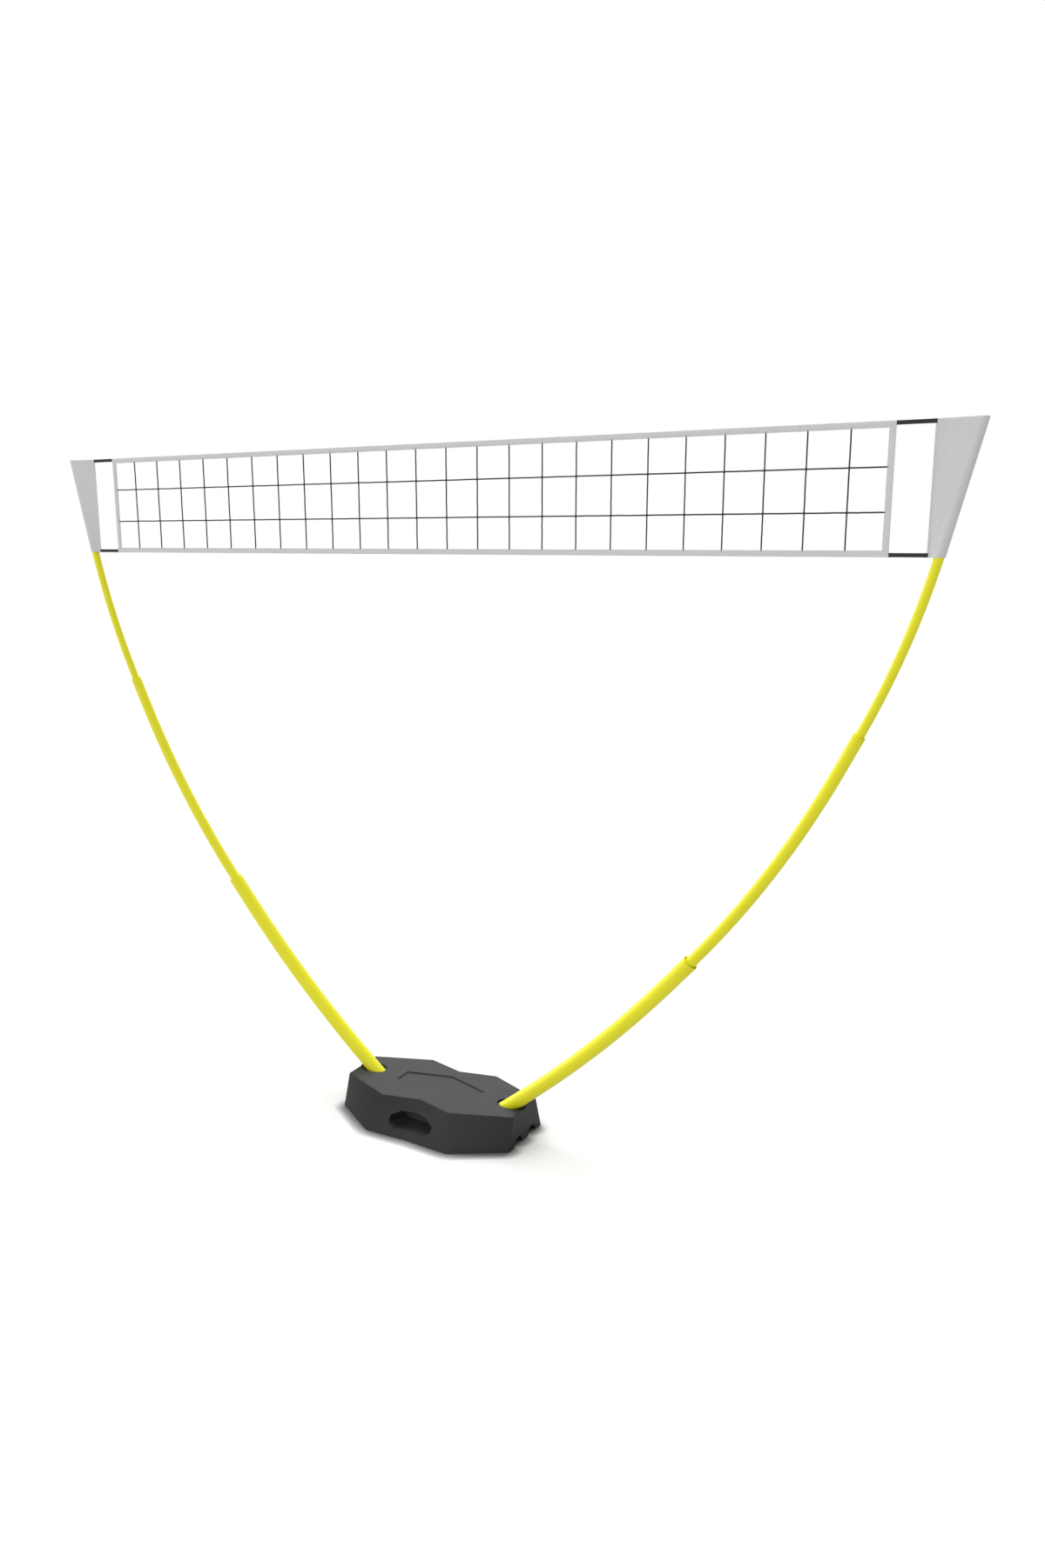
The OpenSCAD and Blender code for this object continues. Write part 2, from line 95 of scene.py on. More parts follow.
# %% Values that can be added up
class Value:
    """A shader number. Its operators add Math nodes."""

    def __init__(self, finish, socket):
        self.finish, self.socket = finish, socket

    def math(self, operation, *others):
        return self.finish.node("ShaderNodeMath", {"operation": operation},
                                dict(enumerate((self, *others))))

    def flipped(self, operation, other):
        return self.finish.node("ShaderNodeMath", {"operation": operation}, {0: other, 1: self})

    def __add__(self, other): return self.math("ADD", other)
    def __sub__(self, other): return self.math("SUBTRACT", other)
    def __mul__(self, other): return self.math("MULTIPLY", other)
    def __truediv__(self, other): return self.math("DIVIDE", other)
    def __mod__(self, other): return self.math("FLOORED_MODULO", other)
    def __pow__(self, other): return self.math("POWER", other)
    def __radd__(self, other): return self.flipped("ADD", other)
    def __rsub__(self, other): return self.flipped("SUBTRACT", other)
    def __rmul__(self, other): return self.flipped("MULTIPLY", other)
    def sin(self): return self.math("SINE")
    def abs(self): return self.math("ABSOLUTE")
    def floor(self): return self.math("FLOOR")
    def above(self, other): return self.math("GREATER_THAN", other)
    def highest(self, other): return self.math("MAXIMUM", other)


# %% A finish and its one way to add a node
class Finish:
    """A material and the tree behind it."""

    def __init__(self, name, **fixed):
        self.material = bpy.data.materials.new(name)
        self.material.use_nodes = True
        self.tree = self.material.node_tree
        self.surface = self.tree.nodes["Principled BSDF"]
        for socket, value in fixed.items():
            self.surface.inputs[socket.replace("_", " ")].default_value = value

    def node(self, kind, settings=None, sockets=None, out=0):
        made = self.tree.nodes.new(kind)
        for key, value in (settings or {}).items():
            if key == "stops":
                ramp = made.color_ramp.elements
                while len(ramp) < len(value):
                    ramp.new(1)
                for stop, (place, shade) in zip(ramp, value):
                    stop.position, stop.color = place, (shade, shade, shade, 1)
            else:
                setattr(made, key, value)
        for key, value in (sockets or {}).items():
            if isinstance(value, Value):
                self.tree.links.new(value.socket, made.inputs[key])
            else:
                made.inputs[key].default_value = value
        return Value(self, made.outputs[out])

    def place(self):
        return self.node("ShaderNodeTexCoord", out="Object")

    def own(self, name):
        return self.node("ShaderNodeAttribute", {"attribute_name": name}, out="Vector")

    def level(self, name):
        return self.node("ShaderNodeAttribute", {"attribute_name": name}, out="Fac")

    def stretched(self, vector, amount):
        return self.node("ShaderNodeVectorMath", {"operation": "MULTIPLY"}, {0: vector, 1: amount})

    def part(self, vector, axis):
        return self.node("ShaderNodeSeparateXYZ", {}, {0: vector}, out=axis)

    def noise(self, vector, scale, detail=2.0, rough=0.5):
        return self.node("ShaderNodeTexNoise", {},
                         {"Vector": vector, "Scale": scale, "Detail": detail, "Roughness": rough})

    def ramp(self, value, *stops):
        return self.node("ShaderNodeValToRGB", {"stops": stops}, {0: value})

    def blend(self, share, first, second):
        return self.node("ShaderNodeMix", {"data_type": "RGBA"}, {0: share, 6: first, 7: second}, 2)

    def bump(self, height, depth, strength=1.0):
        return self.node("ShaderNodeBump", {},
                         {"Height": height, "Distance": depth, "Strength": strength})

    def show(self, **sockets):
        for socket, value in sockets.items():
            self.tree.links.new(value.socket, self.surface.inputs[socket.replace("_", " ")])
        print("finish", self.material.name, "has", len(self.tree.nodes), "nodes")
        return self


def shade(colour, factor):
    """A colour made lighter or darker, with its alpha."""
    return (*[min(1.0, c * factor) for c in colour[:3]], 1.0)


def grey(level):
    return (level, level, level, 1)


# %% [markdown]
# Moulded plastic is never one flat colour. The tool leaves a fine grain, the melt leaves slow
# clouds of tone, and handling leaves short pale scuffs. The grain is bump with two sizes of noise.
# The scuffs are noise stretched along one direction and cut off high, so only a few of them show.

# %% Plastic finishes
def moulded_plastic(name, colour, roughness, grain, scuff):
    f = Finish(name, Specular_IOR_Level=0.17)
    place = f.place()
    clouds = f.noise(place, 9, 3)
    speck = f.noise(place, 700, 1)
    pits = f.node("ShaderNodeTexVoronoi", {"feature": "F1"}, {"Vector": place, "Scale": 1100})
    marks = f.noise(f.stretched(place, (60, 14, 60)), 1.0, 4, 0.65)
    streak = f.ramp(marks, (0.62, 0.0), (0.72, 1.0)) * scuff
    tone = f.blend(clouds * 0.7 + speck * 0.3, shade(colour, 0.82), shade(colour, 1.18))
    f.show(Base_Color=f.blend(streak, tone, shade(colour, 2.1)),
           Roughness=roughness + (clouds - 0.5) * 0.14 + streak * 0.12,
           Normal=f.bump(pits * 0.6 + speck * 0.4, grain))
    return f


base_plastic = moulded_plastic("base_plastic", (0.029, 0.029, 0.030), 0.56, 0.00022, 0.28)
fitting_plastic = moulded_plastic("fitting_plastic", (0.016, 0.016, 0.018), 0.42, 0.00006, 0.15)

# %% [markdown]
# The handle recesses are the same moulding as the rest. This stage throws less light into a hole than
# a bright room does, so the plastic is given a paler tone deep inside and the outer tone at the mouth.
# It stands in for missing light and isn't a second plastic. The tone follows the distance from the middle.

# %% Finish inside the handle recesses
RECESS_BACK, RECESS_MOUTH = 100 * MM, 152 * MM


def recess(name, deep, near, roughness):
    f = Finish(name, Specular_IOR_Level=0.17)
    place = f.place()
    reach = f.part(place, "Y").abs()
    out_there = f.ramp((reach - RECESS_BACK) / (RECESS_MOUTH - RECESS_BACK), (0.0, 0.0), (1.0, 1.0))
    clouds = f.noise(place, 9, 3)
    speck = f.noise(place, 700, 1)
    tone = f.blend(out_there, (*deep, 1), (*near, 1))
    f.show(Base_Color=f.blend(clouds * 0.12 + speck * 0.08, tone, grey(0.030)),
           Roughness=roughness + (clouds - 0.5) * 0.14,
           Normal=f.bump(speck, 0.00020))
    return f


recess_plastic = recess("recess_plastic", (0.075, 0.075, 0.077), (0.024, 0.024, 0.025), 0.68)

# %% [markdown]
# The poles are glass-fibre tubes with a yellow gel coat. Fibres run along the tube, so the pattern
# has to follow the bend. Each tube therefore carries its own straightened coordinates: where a point
# would lie if the tube were straight. A second value is high at the mouths, where tubes rub.

# %% Pole finish
def gel_coat(name, colour):
    f = Finish(name, Specular_IOR_Level=0.25, Coat_Roughness=0.18)
    along = f.own("straight")
    fibres = f.noise(f.stretched(along, (900, 900, 9)), 1.0, 3, 0.6)
    clouds = f.noise(f.stretched(along, (14, 14, 5)), 1.0, 2)
    turns = (f.part(along, "Z") * (2 * math.pi / 0.011)).sin()
    rub = f.level("rub") * f.ramp(f.noise(f.stretched(along, (500, 500, 40)), 1.0, 3),
                                  (0.35, 0.0), (0.65, 1.0))
    tone = f.blend(fibres * 0.45 + clouds * 0.55, shade(colour, 0.93), shade(colour, 1.05))
    f.show(Base_Color=f.blend(rub * 0.35, tone, shade(colour, 0.62)),
           Roughness=0.36 + (clouds - 0.5) * 0.10 + rub * 0.25,
           Coat_Weight=0.15 - rub * 0.12,
           Normal=f.bump(fibres * 0.8 + turns * 0.1, 0.00005))
    return f


pole_yellow = gel_coat("pole_yellow", (0.95, 0.905, 0.020, 1))

# %% [markdown]
# Cloth is yarns that pass over and under each other. In a plain weave the crossing that lies on top
# changes like the squares of a chessboard. The height of a yarn is the hump of a sine across it, and
# the dark gaps between yarns come from the same height, so colour and bump agree.

# %% Woven finishes
def woven(name, colour, across, up, pitch, depth, slubs=0.06, sheen=0.15):
    """across and up are functions that take the finish and give the two lengths in the cloth."""
    f = Finish(name, Specular_IOR_Level=0.12, Sheen_Weight=sheen, Sheen_Roughness=0.5)
    a, b = across(f) / pitch[0], up(f) / pitch[1]
    over = (a.floor() + b.floor()) % 2.0
    yarns = over * (a * math.pi).sin().abs() + (1 - over) * (b * math.pi).sin().abs()
    uneven = f.noise(f.place(), 260, 2)
    clouds = f.noise(f.place(), 7, 3)
    thread = f.node("ShaderNodeTexWhiteNoise", {"noise_dimensions": "1D"},
                    {"W": a.floor() * 0.731 + 3.1})
    tone = yarns * 0.5 + uneven * 0.25 + thread * slubs * 4.0 + clouds * 0.2
    f.show(Base_Color=f.blend(tone, shade(colour, 0.80), shade(colour, 1.10)),
           Roughness=0.80 + (uneven - 0.5) * 0.15,
           Normal=f.bump(yarns + (uneven - 0.5) * 0.3, depth))
    return f


def uv_across(f): return f.part(f.own("cloth"), "X")
def uv_up(f): return f.part(f.own("cloth"), "Y")


sleeve_cloth = woven("sleeve_cloth", (0.78, 0.78, 0.785), uv_across, uv_up,
                     (0.9 * MM, 0.9 * MM), 0.00016)
net_tape = woven("net_tape", (0.85, 0.85, 0.855), uv_across, uv_up,
                 (0.7 * MM, 1.5 * MM), 0.00020, slubs=0.03)
strap_elastic = woven("strap_elastic", (0.058, 0.058, 0.059), uv_across, uv_up,
                      (1.1 * MM, 0.6 * MM), 0.00022, slubs=0.02, sheen=0.05)


# %% [markdown]
# A braided cord shows two families of strands that wind round it in opposite directions. With the
# cord's own straightened coordinates the angle and the length give both families as sines.

# %% Cord and thread finish
def braid(name, colour, radius, pitch, depth):
    f = Finish(name, Specular_IOR_Level=0.15, Sheen_Weight=0.1)
    own = f.own("straight")
    angle = f.node("ShaderNodeMath", {"operation": "ARCTAN2"},
                   {0: f.part(own, "Y"), 1: f.part(own, "X")})
    climb = f.part(own, "Z") * (2 * math.pi / pitch)
    strands = ((angle * 4 + climb).sin() * (angle * 4 - climb).sin()).abs()
    fuzz = f.noise(f.place(), 1500, 2)
    f.show(Base_Color=f.blend(strands * 0.6 + fuzz * 0.4, shade(colour, 0.65), shade(colour, 1.25)),
           Roughness=0.72 + fuzz * 0.15,
           Normal=f.bump(strands + fuzz * 0.3, depth))
    return f


net_cord = braid("net_cord", (0.058, 0.060, 0.062), 1.7 * MM, 9 * MM, 0.00025)
sewing_thread = braid("sewing_thread", (0.78, 0.78, 0.785), 0.3 * MM, 2 * MM, 0.00006)

# %% [markdown]
# Two metals are hidden in the base. Zinc plating has small crystals that shimmer, and cast iron is
# dull, dark and rough from the sand it was poured in.

# %% Metal finishes
def metal(name, colour, roughness, scale, depth, metallic):
    f = Finish(name, Metallic=metallic)
    place = f.place()
    crystals = f.node("ShaderNodeTexVoronoi", {"feature": "F1"}, {"Vector": place, "Scale": scale})
    clouds = f.noise(place, scale / 20, 4, 0.6)
    f.show(Base_Color=f.blend(crystals * 0.5 + clouds * 0.5, shade(colour, 0.75), shade(colour, 1.2)),
           Roughness=roughness + (clouds - 0.5) * 0.3,
           Normal=f.bump(crystals * 0.3 + clouds * 0.7, depth))
    return f


screw_steel = metal("screw_steel", (0.42, 0.43, 0.44), 0.34, 1500, 0.00003, 1.0)
ballast_iron = metal("ballast_iron", (0.085, 0.078, 0.072), 0.75, 500, 0.0004, 0.6)

# %% [markdown]
# ## Pieces
# Every piece ends the same way: its faces get a finish and smooth shading except at real edges, it
# rides on a body, and it says which solids it stands for.

# %% Hand a piece over
def hand_over(bm, name, finishes, body, nodes, sharp=35):
    """Make the bmesh an object at the origin and tell the frame about it."""
    mesh = bpy.data.meshes.new(name)
    bm.to_mesh(mesh)
    bm.free()
    for finish in finishes:
        mesh.materials.append(finish.material)
    mesh.shade_smooth()
    mesh.set_sharp_from_angle(angle=math.radians(sharp))
    piece = bpy.data.objects.new(name, mesh)
    bpy.context.scene.collection.objects.link(piece)
    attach(piece, body)
    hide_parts(*nodes)
    print(name, "has", len(mesh.polygons), "faces and stands for", ", ".join(nodes))
    return piece


def of_kind(geometry, kind):
    return [g for g in geometry if isinstance(g, kind)]


def edges_at(verts):
    """The edges that meet these points, each once."""
    return list(dict.fromkeys(e for v in verts for e in v.link_edges))


def add_part(bm, part):
    """Copy a small bmesh into a big one. Operators are slow on big meshes, so parts are made alone."""
    mesh = bpy.data.meshes.new("part")
    part.to_mesh(mesh)
    bm.from_mesh(mesh)
    bpy.data.meshes.remove(mesh)
    part.free()


SIDES = {"left": -1, "right": 1}


# %% [markdown]
# The base is one moulding with a waist, a sunk panel, two handle recesses and two slanted pole holes.
# Its solid has the right shape, but a moulding has no knife edges. So a copy of the solid is merged
# into one skin, its flat faces are joined, and every rim that a hand could touch gets a small bevel.

# %% Edges and faces of the base
LEAN, POLE_X = 39.2, 253 * MM
TOP_Z, PLATE_Z = 98 * MM, 94 * MM
RIM_ANGLE, FOLD_ANGLE = math.radians(28), math.radians(24)
HANDLE_HALF, HANDLE_OUT, HANDLE_LOW, HANDLE_HIGH = 80 * MM, 100 * MM, 15 * MM, 72 * MM
RECESS_HALF, RECESS_IN, RECESS_LOW, RECESS_HIGH = 75.5 * MM, 94.5 * MM, 19 * MM, 67 * MM
WAIST_Y, WAIST_SLOPE = 183 * MM, 0.786
NOTCH_X, NOTCH_HIGH = 297 * MM, 30 * MM


def heading(slope):
    """The way along a pole that rises by this many degrees."""
    return Vector((math.cos(math.radians(slope)), 0, math.sin(math.radians(slope))))


def outer_rim(edge):
    """Sharp edges on the outside of the base: the handles, the panel, the pole holes, the notches."""
    if len(edge.link_faces) != 2 or edge.calc_face_angle(0) < RIM_ANGLE:
        return False
    x, y, z = (edge.verts[0].co + edge.verts[1].co) / 2
    on_top = z > PLATE_Z - 0.5 * MM
    handle = abs(x) < HANDLE_HALF and abs(y) > HANDLE_OUT and HANDLE_LOW < z < HANDLE_HIGH
    notch = abs(x) > NOTCH_X and z < NOTCH_HIGH
    return on_top or handle or notch


def in_recess(face):
    """Inside faces of the handle recesses."""
    x, y, z = face.calc_center_median()
    return (abs(x) < RECESS_HALF and RECESS_IN < abs(y) and RECESS_LOW < z < RECESS_HIGH
            and abs(y) + WAIST_SLOPE * z < WAIST_Y)


def off_axis(point):
    """How far a point stands from the nearer pole's axis, and the way straight out from it."""
    out = Vector((abs(point.x) - POLE_X, point.y, point.z - TOP_Z))
    axis = heading(LEAN)
    out -= axis * out.dot(axis)
    level = Vector((out.x, out.y, 0))
    return out.length, Vector((math.copysign(level.x, level.x * point.x), level.y, 0)).normalized()


# %% Base moulding
bm = bmesh.new()
bm.from_mesh(frame["nodes"]["base_shell"].data)
bmesh.ops.remove_doubles(bm, verts=bm.verts, dist=1e-6)
bmesh.ops.dissolve_limit(bm, angle_limit=math.radians(0.4), verts=bm.verts, edges=bm.edges)
WIDER, MOUTH_RADIUS = 5.5 * MM, 26.2 * MM
PANEL_HALF, PANEL_DRAFT = (145 * MM, 70 * MM), (0.965, 0.95, 1)
mouth = [v for v in bm.verts if v.co.z > PLATE_Z - 0.01 * MM and off_axis(v.co)[0] < MOUTH_RADIUS]
for v in mouth:
    v.co += WIDER * off_axis(v.co)[1]
panel_floor = [v for v in bm.verts if abs(v.co.z - PLATE_Z) < 0.05 * MM
               and abs(v.co.x) < PANEL_HALF[0] and abs(v.co.y) < PANEL_HALF[1] and v not in mouth]
bmesh.ops.scale(bm, verts=panel_floor, vec=PANEL_DRAFT)
print("points round the pole holes:", len(mouth), "and round the panel's floor:", len(panel_floor))
for face in bm.faces:
    if in_recess(face):
        face.material_index = 1
rims = [e for e in bm.edges if outer_rim(e)]
bmesh.ops.bevel(bm, geom=rims, offset=1.2 * MM, offset_type="OFFSET", segments=3, profile=0.5,
                affect="EDGES", material=-1, clamp_overlap=True)
base_moulding = hand_over(bm, "base_moulding", [base_plastic, recess_plastic], "base", ["base_shell"],
                          sharp=32)

# %% [markdown]
# The long sides are twisted, because their top and bottom edges aren't parallel, and the solid folds
# each of them along a diagonal. The moulding runs smoothly there. So the shading follows the ruled
# surface between the two edges instead of the fold, and big faces outweigh the small ones at corners.

# %% Even shading of the twisted sides
LOW_CORNERS = [Vector(p) * MM for p in ((0, 188, 0), (143, 194, 0), (300, 97, 0))]
TOP_CORNERS = [Vector(p) * MM for p in ((0, 111, 98), (119, 140, 98), (299, 70, 98))]
NEAR_SIDE = 9 * MM


def ruled_normal(point):
    """The way out from the ruled side surface under a point, or None away from the long sides."""
    spot = Vector((abs(point.x), abs(point.y), point.z))
    up = spot.z / TOP_Z
    for i in (0, 1):
        a, b = (LOW_CORNERS[k].lerp(TOP_CORNERS[k], up) for k in (i, i + 1))
        along = (spot - a).dot(b - a) / (b - a).length_squared
        if -0.01 < along < 1.01:
            rise = (TOP_CORNERS[i] - LOW_CORNERS[i]).lerp(TOP_CORNERS[i + 1] - LOW_CORNERS[i + 1], along)
            out = rise.cross(b - a).normalized()
            if abs((spot - a).dot(out)) < NEAR_SIDE:
                across = math.copysign(out.x, out.x * point.x)
                return Vector((across, math.copysign(out.y, point.y), out.z))
    return None


base_moulding.modifiers.new("even", "WEIGHTED_NORMAL").keep_sharp = True
depsgraph = bpy.context.evaluated_depsgraph_get()
even = bpy.data.meshes.new_from_object(base_moulding.evaluated_get(depsgraph))
base_moulding.modifiers.clear()
normals = [Vector(n.vector) for n in even.corner_normals]
turned = 0
for face in even.polygons:
    if face.material_index or not 0.5 * MM < face.center.z < 93.8 * MM:
        continue
    out = ruled_normal(face.center)
    if out is None or out.dot(face.normal) < math.cos(FOLD_ANGLE):
        continue
    for corner in face.loop_indices:
        at = ruled_normal(even.vertices[even.loops[corner].vertex_index].co)
        if at is not None:
            normals[corner] = at
            turned += 1
even.normals_split_custom_set(normals)
base_moulding.data = even
print("corners that follow the ruled sides:", turned)

# %% [markdown]
# The other hard solids in the base and the hidden fittings keep their shape and only get a finish.

# %% Finishes on the solids that stay
KEPT_SOLIDS = {
    "base_cover": base_plastic, "cover_screws": screw_steel,
    "ballast": ballast_iron, "socket": fitting_plastic, "lower_plug": fitting_plastic,
    "lower_insert": fitting_plastic, "middle_plug": fitting_plastic,
    "middle_insert": fitting_plastic, "top_plug": fitting_plastic, "tip_cap": fitting_plastic,
}
for solid, finish in KEPT_SOLIDS.items():
    for node_name in [n for n in frame["nodes"] if n.removesuffix("_left").removesuffix("_right") == solid]:
        materials = frame["nodes"][node_name].data.materials
        materials.clear()
        materials.append(finish.material)
print("solids that keep their shape:", len(KEPT_SOLIDS))

# %% [markdown]
# ## Pole tubes
# A pole is three tubes that plug into each other, bent like a bow by the pull of the net. Each tube
# is straight around its joints and an arc in between, so it can be made by pushing one ring along:
# each step extrudes the ring, then moves it straight on or turns it about the centre of the bow.

# %% The line of a pole
TURNS, BOWS = (10.4, 14.4, 12.6), (3600 * MM, 2650 * MM, 2120 * MM)
RADII, WALLS = (21.5 * MM, 15.75 * MM, 11.5 * MM), (2 * MM, 2 * MM, 1.5 * MM)
FACE = Vector((POLE_X, 0, TOP_Z))
IN_SOCKET, FOOT, JOINT, TIP, SPIGOT, PLUG = (x * MM for x in (99.8, 30, 95, 269, 85.8, 4))
RING = 48
RUB_MOUTH, RUB_FOOT = 0.02, 0.03


def bow_centre(point, slope, radius):
    return point + radius * Vector((-math.sin(math.radians(slope)), 0, math.cos(math.radians(slope))))


def after_bow(point, slope, radius, turn):
    centre = bow_centre(point, slope, radius)
    return centre + Matrix.Rotation(-math.radians(turn), 3, "Y") @ (point - centre)


slope, point, mouths = LEAN, FACE + FOOT * heading(LEAN), []
for turn, bow in zip(TURNS, BOWS):
    point = after_bow(point, slope, bow, turn)
    slope += turn
    mouths.append((point + (TIP if len(mouths) == 2 else JOINT) * heading(slope), slope))
    point = mouths[-1][0]
print("mouths", [tuple(round(c, 4) for c in m[0]) for m in mouths])


# %% Push a ring along
def push(bm, edges, move):
    """Extrude the ring's edges, move what is new, and give back the new ring."""
    made = bmesh.ops.extrude_edge_only(bm, edges=edges)["geom"]
    verts = of_kind(made, bmesh.types.BMVert)
    fresh = set(verts)
    move(verts)
    return verts, [e for e in of_kind(made, bmesh.types.BMEdge)
                   if e.verts[0] in fresh and e.verts[1] in fresh]


def tube(name, side, start, slope, stretches, radius, wall, body, node):
    """stretches are (length,) for a straight one and (bow radius, turn) for a bow."""
    bm = bmesh.new()
    straight = bm.verts.layers.float_vector.new("straight")
    rub = bm.verts.layers.float.new("rub")
    stand = Matrix.Translation(start) @ Matrix.Rotation(math.radians(90 - slope), 4, "Y")
    verts, edges = [], []
    for r in (radius, radius - wall):
        ring = bmesh.ops.create_circle(bm, segments=RING, radius=r, matrix=stand)["verts"]
        verts += ring
        edges += edges_at(ring)
    for v in verts:
        v[straight] = stand.inverted() @ v.co
    bmesh.ops.bridge_loops(bm, edges=edges)
    length, total = 0.0, sum(s[0] if len(s) == 1 else s[0] * math.radians(s[1]) for s in stretches)
    for stretch in stretches:
        steps = 4 if len(stretch) == 1 else round(stretch[1] * 3)
        centre = len(stretch) > 1 and bow_centre(start, slope, stretch[0])
        for _ in range(steps):
            if len(stretch) == 1:
                gone = stretch[0] / steps
                way = gone * heading(slope)
                verts_move = lambda vs: bmesh.ops.translate(bm, verts=vs, vec=way)
                start = start + way
            else:
                gone = stretch[0] * math.radians(stretch[1]) / steps
                spin = Matrix.Rotation(-math.radians(stretch[1] / steps), 3, "Y")
                verts_move = lambda vs: bmesh.ops.rotate(bm, verts=vs, cent=centre, matrix=spin)
                start = centre + spin @ (start - centre)
                slope += stretch[1] / steps
            verts, edges = push(bm, edges, verts_move)
            length += gone
            for v in verts:
                v[straight] = Vector((*v[straight].xy, length))
                v[rub] = math.exp(-(total - length) / RUB_MOUTH) + math.exp(-length / RUB_FOOT)
    bmesh.ops.bridge_loops(bm, edges=edges)
    rims = [e for e in bm.edges if e.calc_face_angle(0) > math.radians(60)]
    bmesh.ops.bevel(bm, geom=rims, offset=wall * 0.3, offset_type="OFFSET", segments=3,
                    profile=0.5, affect="EDGES", material=-1)
    if side < 0:
        bmesh.ops.scale(bm, verts=bm.verts, vec=(-1, 1, 1))
    bmesh.ops.recalc_face_normals(bm, faces=bm.faces)
    return hand_over(bm, name, [pole_yellow], body, [node])


# %% [markdown]
# The lower tube starts on its plug in the socket, and the other two start inside the tube below,
# on the stop of its liner, so their first stretch is the length that is plugged in.

# %% Six tubes
for word, side in SIDES.items():
    tube(f"pole_lower_{word}", side, FACE - (IN_SOCKET - PLUG) * heading(LEAN), LEAN,
         [(IN_SOCKET - PLUG + FOOT,), (BOWS[0], TURNS[0]), (JOINT,)],
         RADII[0], WALLS[0], f"lower_pole_{word}", f"lower_tube_{word}")
    for i, (level, last) in enumerate((("middle", JOINT), ("top", TIP)), start=1):
        mouth, slope = mouths[i - 1]
        tube(f"pole_{level}_{word}", side, mouth - SPIGOT * heading(slope), slope,
             [(SPIGOT,), (BOWS[i], TURNS[i]), (last,)],
             RADII[i], WALLS[i], f"{level}_pole_{word}", f"{level}_tube_{word}")

# %% [markdown]
# ## Net
# The net is 25 squares long and 3 high, knotted from braided cord. Every cord is a thin tube, and a
# knot is two small loops that cross where two cords meet. A taut net is straight, but hand-tied
# squares are never exact, so each cord wanders by a fraction of a millimetre.

# %% Sizes of the net
net_low, net_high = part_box("band_bottom")[0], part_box("band_top")[1]
cords_low, cords_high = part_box("net_cords")
COLUMNS, ROWS, CORD = 25, 3, 1.9 * MM
CELL = (net_high.z - net_low.z) / ROWS
LOOP = 2.3 * MM
dice = random.Random(7)
print("net", round(net_high.x - net_low.x, 3), "by", round(net_high.z - net_low.z, 3))


# %% Net cords
def cord(start, direction, length, steps, radius, offset, wander):
    """A thin closed tube from start, pushed along in steps, each ring a little off the line."""
    bm = bmesh.new()
    straight = bm.verts.layers.float_vector.new("straight")
    stand = Matrix.Translation(start) @ direction.to_track_quat("Z", "Y").to_matrix().to_4x4()
    verts = bmesh.ops.create_circle(bm, segments=8, radius=radius, matrix=stand, cap_ends=True)["verts"]
    edges = edges_at(verts)
    for v in verts:
        v[straight] = stand.inverted() @ v.co + Vector((0, 0, offset))
    drift = Vector()
    for i in range(1, steps + 1):
        aim = Vector([dice.uniform(-wander, wander) for _ in range(3)]) * (i < steps)
        way = direction * (length / steps) + aim - drift
        drift = aim
        verts, edges = push(bm, edges, lambda vs: bmesh.ops.translate(bm, verts=vs, vec=way))
        for v in verts:
            v[straight] = Vector((*v[straight].xy, offset + length * i / steps))
    bmesh.ops.contextual_create(bm, geom=edges)
    return bm


def loop_knot():
    """One turn of cord: a small ring of round section, wider than it is high."""
    bm = bmesh.new()
    straight = bm.verts.layers.float_vector.new("straight")
    stand = Matrix.Translation((LOOP, 0, 0)) @ Matrix.Rotation(math.pi / 2, 4, "X")
    ring = bmesh.ops.create_circle(bm, segments=6, radius=CORD * 0.75, matrix=stand)["verts"]
    for v in ring:
        v[straight] = Vector((v.co.x - LOOP, v.co.z, 0))
    bmesh.ops.spin(bm, geom=[*bm.verts, *bm.edges], cent=(0, 0, 0), axis=(0, 0, 1), angle=2 * math.pi,
                   steps=12, use_merge=True)
    bmesh.ops.scale(bm, verts=bm.verts, vec=(1.0, 0.8, 1.3))
    return bm


bm = bmesh.new()
bm.verts.layers.float_vector.new("straight")
UP, ALONG = Vector((0, 0, 1)), Vector((1, 0, 0))
INTO, WANDER = 3 * MM, 0.25 * MM
knot = loop_knot()
for i in range(1, COLUMNS):
    foot = Vector((net_low.x + i * CELL, 0, cords_low.z - INTO))
    add_part(bm, cord(foot, UP, cords_high.z - cords_low.z + 2 * INTO, 18, CORD, i * 0.37, WANDER))
for j in range(1, ROWS):
    foot = Vector((cords_low.x - INTO, 0, net_low.z + j * CELL))
    add_part(bm, cord(foot, ALONG, cords_high.x - cords_low.x + 2 * INTO, 150, CORD, j * 5.1, WANDER))
    for i in range(1, COLUMNS):
        lean = dice.uniform(0.5, 0.7)
        for way in (-lean, lean):
            turn = knot.copy()
            twist = Matrix.Rotation(way, 4, "Y") @ Matrix.Rotation(dice.uniform(-0.3, 0.3), 4, "X")
            stand = Matrix.Translation((net_low.x + i * CELL, 0, foot.z))
            bmesh.ops.transform(turn, matrix=stand @ twist, verts=turn.verts)
            add_part(bm, turn)
knot.free()
bmesh.ops.recalc_face_normals(bm, faces=bm.faces)
hand_over(bm, "netting", [net_cord], "net", ["net_cords"], sharp=60)

# %% [markdown]
# A tape folded over the edge of the netting closes it all round. The fold is a round edge, the open
# side is pinched flat by a row of stitches, and the tape swells a little in between. A cube is cut
# into lengths, bevelled and pinched, then the stitches are laid along it.


# %% Stitches
def stitch(length, radius):
    """One thread between two needle holes, along X: a small ellipsoid half sunk in the cloth."""
    bm = bmesh.new()
    turn = Matrix.Diagonal((length / 2, radius, radius, 1)) @ Matrix.Rotation(math.pi / 2, 4, "Y")
    bmesh.ops.create_uvsphere(bm, u_segments=6, v_segments=4, radius=1, matrix=turn)
    for face in bm.faces:
        face.material_index = 1
    return bm


